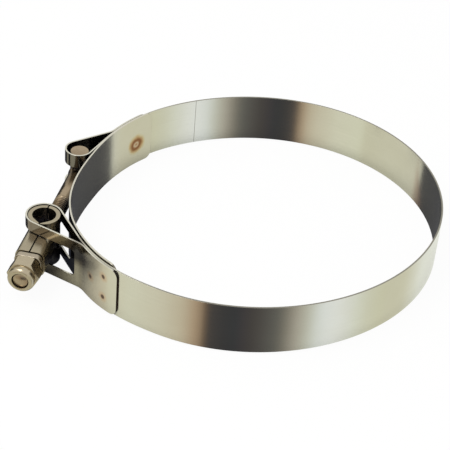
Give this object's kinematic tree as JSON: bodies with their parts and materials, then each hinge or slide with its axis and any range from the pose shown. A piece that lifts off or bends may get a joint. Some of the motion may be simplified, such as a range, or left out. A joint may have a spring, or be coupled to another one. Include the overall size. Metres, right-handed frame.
{
  "type": "t-bolt clamp",
  "caption": "Stainless T-bolt hose clamp: a band with folded end loops, an inner bridge, a cross-headed bolt, a trunnion and a lock nut that draws the ends together.",
  "frame": {"origin": "on the ring's axis, level with the band's lower edge", "axes": "+Z along the ring's axis, up through the band's width; -X towards the gap and the bolt; the bolt's nut end points towards -Y"},
  "size_m": [0.1493, 0.1302, 0.0204],
  "materials": {
    "band_steel": "polished",
    "bridge_steel": "polished",
    "bolt_steel": "rolled and threaded",
    "trunnion_steel": "pressed",
    "washer_steel": "pressed",
    "nut_steel": "machined"
  },
  "bodies": {
    "ring": {"band": "band_steel", "bridge": "bridge_steel"},
    "bolt": {"t_bolt": "bolt_steel"},
    "trunnion": {"trunnion": "trunnion_steel", "square_washer": "washer_steel"},
    "nut": {"lock_nut": "nut_steel"}
  },
  "joints": [
    {"name": "band_closing", "type": "hinge", "parent": "ring", "child": "trunnion", "pos_m": [-0.001, -0.002, 0.0095], "axis": [0, 0, -1], "range_deg": [0, 16.93], "deforming": ["band"]},
    {"name": "bolt_travel", "type": "slide", "parent": "trunnion", "child": "bolt", "axis": [-0.1633, -0.9866, 0], "range_m": [0, 0.02]},
    {"name": "nut_turn", "type": "hinge", "parent": "trunnion", "child": "nut", "pos_m": [-0.07595, -0.04261, 0.0095], "axis": [0.1633, 0.9866, 0], "range_deg": [0, 7200]}
  ],
  "couplings": [
    {"joint": "nut_turn", "follows": "bolt_travel", "rad_per_m": 6283.2},
    {"joint": "band_closing", "follows": "bolt_travel", "rad_per_m": 14.774}
  ]
}
